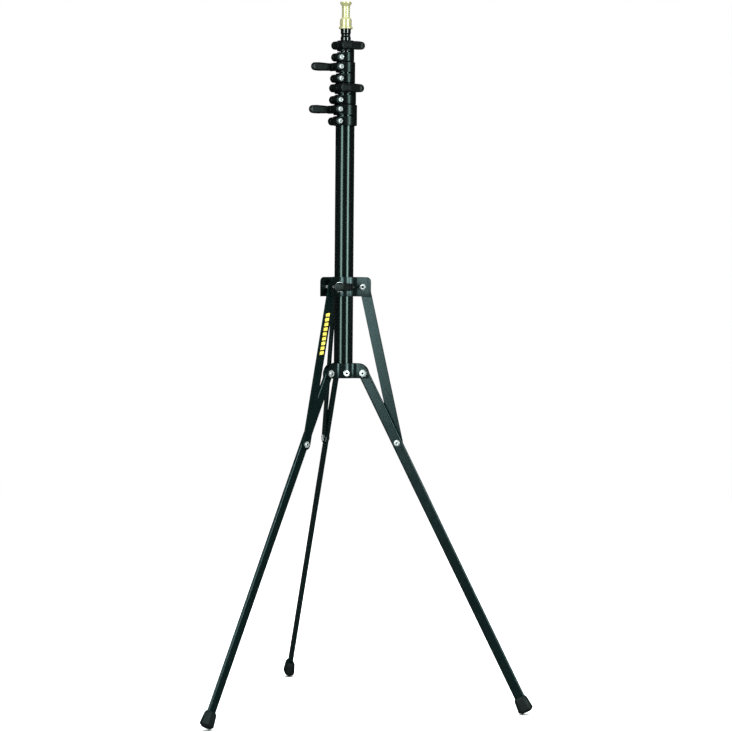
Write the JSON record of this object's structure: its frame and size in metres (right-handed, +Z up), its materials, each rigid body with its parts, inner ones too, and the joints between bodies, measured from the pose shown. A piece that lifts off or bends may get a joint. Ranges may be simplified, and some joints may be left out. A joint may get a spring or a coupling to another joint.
{
  "type": "lighting stand",
  "caption": "Black telescopic lighting stand: reverse-folding flat-leg tripod, clamp collars with levers on a slim column and a brass mounting spigot on top.",
  "frame": {"origin": "on the floor, on the column axis, with the legs open at their working spread", "axes": "+Z up along the column; leg 1 leans out 12.7 degrees clockwise of +X seen from above, and the lock lever faces -Y"},
  "size_m": [0.4463, 0.4557, 0.9678],
  "materials": {
    "black_paint": "glossy black coating",
    "leg_paint": "semi-gloss black paint",
    "bright_steel": "bright plated",
    "black_steel": "black oxide",
    "lever_plastic": "gloss black",
    "nylon": "matte",
    "rubber": "matte",
    "brass": "polished"
  },
  "bodies": {
    "column": {"base_tube": "black_paint", "base_plug": "nylon", "lower_collar_plate_1": "black_paint", "lower_collar_plate_2": "black_paint", "lower_collar_plate_3": "black_paint", "lower_collar_screws": "bright_steel", "leg_pivot_rivets": "bright_steel", "leg_pivot_washers": "bright_steel", "clamp_1": "black_paint", "pinch_bolt_1": "bright_steel", "clamp_nuts_1": "black_steel"},
    "sliding_collar": {"upper_collar_plate_1": "black_paint", "upper_collar_plate_2": "black_paint", "upper_collar_plate_3": "black_paint", "upper_pivot_bolts": "bright_steel", "lock_washer": "bright_steel"},
    "lock_lever": {"lock_lever": "lever_plastic", "lock_stud": "bright_steel"},
    "leg_1": {"leg_1": "leg_paint", "foot_1": "rubber", "mid_rivet_1": "bright_steel", "mid_washer_1": "bright_steel"},
    "brace_1": {"brace_1": "leg_paint"},
    "leg_2": {"leg_2": "leg_paint", "foot_2": "rubber", "mid_rivet_2": "bright_steel", "mid_washer_2": "bright_steel"},
    "brace_2": {"brace_2": "leg_paint"},
    "leg_3": {"leg_3": "leg_paint", "foot_3": "rubber", "mid_rivet_3": "bright_steel", "mid_washer_3": "bright_steel"},
    "brace_3": {"brace_3": "leg_paint"},
    "riser_1": {"riser_1": "black_paint", "riser_bush_1": "nylon", "clamp_2": "black_paint", "pinch_bolt_2": "bright_steel", "clamp_nuts_2": "black_steel"},
    "clamp_lever_1": {"clamp_lever_1": "lever_plastic", "clamp_screw_1": "bright_steel"},
    "riser_2": {"riser_2": "black_paint", "riser_bush_2": "nylon", "clamp_3": "black_paint", "pinch_bolt_3": "bright_steel", "clamp_nuts_3": "black_steel"},
    "clamp_lever_2": {"clamp_lever_2": "lever_plastic", "clamp_screw_2": "bright_steel"},
    "riser_3": {"riser_3": "black_paint", "riser_bush_3": "nylon", "clamp_4": "black_paint", "pinch_bolt_4": "bright_steel", "clamp_nuts_4": "black_steel"},
    "clamp_lever_3": {"clamp_lever_3": "lever_plastic", "clamp_screw_3": "bright_steel"},
    "riser_4": {"riser_4": "black_paint", "riser_bush_4": "nylon", "spigot": "brass"},
    "clamp_lever_4": {"clamp_lever_4": "lever_plastic", "clamp_screw_4": "bright_steel"}
  },
  "joints": [
    {"name": "leg_1_fold", "type": "hinge", "parent": "column", "child": "leg_1", "pos_m": [0.02819, -0.00635, 0.46093], "axis": [-0.2198, -0.9755, 0], "range_deg": [0, 151]},
    {"name": "brace_1_fold", "type": "hinge", "parent": "leg_1", "child": "brace_1", "pos_m": [0.07482, -0.01686, 0.36632], "axis": [-0.2198, -0.9755, 0], "range_deg": [-162.59, 0]},
    {"name": "leg_2_fold", "type": "hinge", "parent": "column", "child": "leg_2", "pos_m": [-0.00859, 0.02759, 0.46093], "axis": [0.9548, 0.2974, 0], "range_deg": [0, 151]},
    {"name": "brace_2_fold", "type": "hinge", "parent": "leg_2", "child": "brace_2", "pos_m": [-0.02281, 0.07322, 0.36632], "axis": [0.9548, 0.2974, 0], "range_deg": [-162.59, 0]},
    {"name": "leg_3_fold", "type": "hinge", "parent": "column", "child": "leg_3", "pos_m": [-0.0196, -0.02124, 0.46093], "axis": [-0.7349, 0.6782, 0], "range_deg": [0, 151]},
    {"name": "brace_3_fold", "type": "hinge", "parent": "leg_3", "child": "brace_3", "pos_m": [-0.05201, -0.05636, 0.36632], "axis": [-0.7349, 0.6782, 0], "range_deg": [-162.59, 0]},
    {"name": "collar_slide", "type": "slide", "parent": "column", "child": "sliding_collar", "axis": [0, 0, 1], "range_m": [0, 0.20594]},
    {"name": "lock_lever_turn", "type": "hinge", "parent": "sliding_collar", "child": "lock_lever", "pos_m": [-0.00572, -0.02945, 0.57931], "axis": [-0.1908, -0.9816, 0], "range_deg": [0, 90]},
    {"name": "riser_1_slide", "type": "slide", "parent": "column", "child": "riser_1", "axis": [0, 0, 1], "range_m": [0, 0.29]},
    {"name": "riser_2_slide", "type": "slide", "parent": "riser_1", "child": "riser_2", "axis": [0, 0, 1], "range_m": [0, 0.29]},
    {"name": "riser_3_slide", "type": "slide", "parent": "riser_2", "child": "riser_3", "axis": [0, 0, 1], "range_m": [0, 0.29]},
    {"name": "riser_4_slide", "type": "slide", "parent": "riser_3", "child": "riser_4", "axis": [0, 0, 1], "range_m": [0, 0.29]},
    {"name": "clamp_lever_1_turn", "type": "hinge", "parent": "column", "child": "clamp_lever_1", "pos_m": [-0.01472, -0.00993, 0.82113], "axis": [0.5592, -0.829, 0], "range_deg": [0, 45]},
    {"name": "clamp_lever_2_turn", "type": "hinge", "parent": "riser_1", "child": "clamp_lever_2", "pos_m": [-0.01347, -0.00909, 0.85018], "axis": [0.5592, -0.829, 0], "range_deg": [0, 45]},
    {"name": "clamp_lever_3_turn", "type": "hinge", "parent": "riser_2", "child": "clamp_lever_3", "pos_m": [-0.01223, -0.00825, 0.87923], "axis": [0.5592, -0.829, 0], "range_deg": [0, 45]},
    {"name": "clamp_lever_4_turn", "type": "hinge", "parent": "riser_3", "child": "clamp_lever_4", "pos_m": [-0.01098, -0.00741, 0.90828], "axis": [0.5592, -0.829, 0], "range_deg": [0, 45]}
  ],
  "couplings": [
    {"joint": "brace_1_fold", "follows": "leg_1_fold", "ratio": -1.0767},
    {"joint": "leg_2_fold", "follows": "leg_1_fold", "ratio": 1},
    {"joint": "brace_2_fold", "follows": "leg_1_fold", "ratio": -1.0767},
    {"joint": "leg_3_fold", "follows": "leg_1_fold", "ratio": 1},
    {"joint": "brace_3_fold", "follows": "leg_1_fold", "ratio": -1.0767},
    {"joint": "collar_slide", "follows": "leg_1_fold", "m_per_rad": 0.078125}
  ]
}
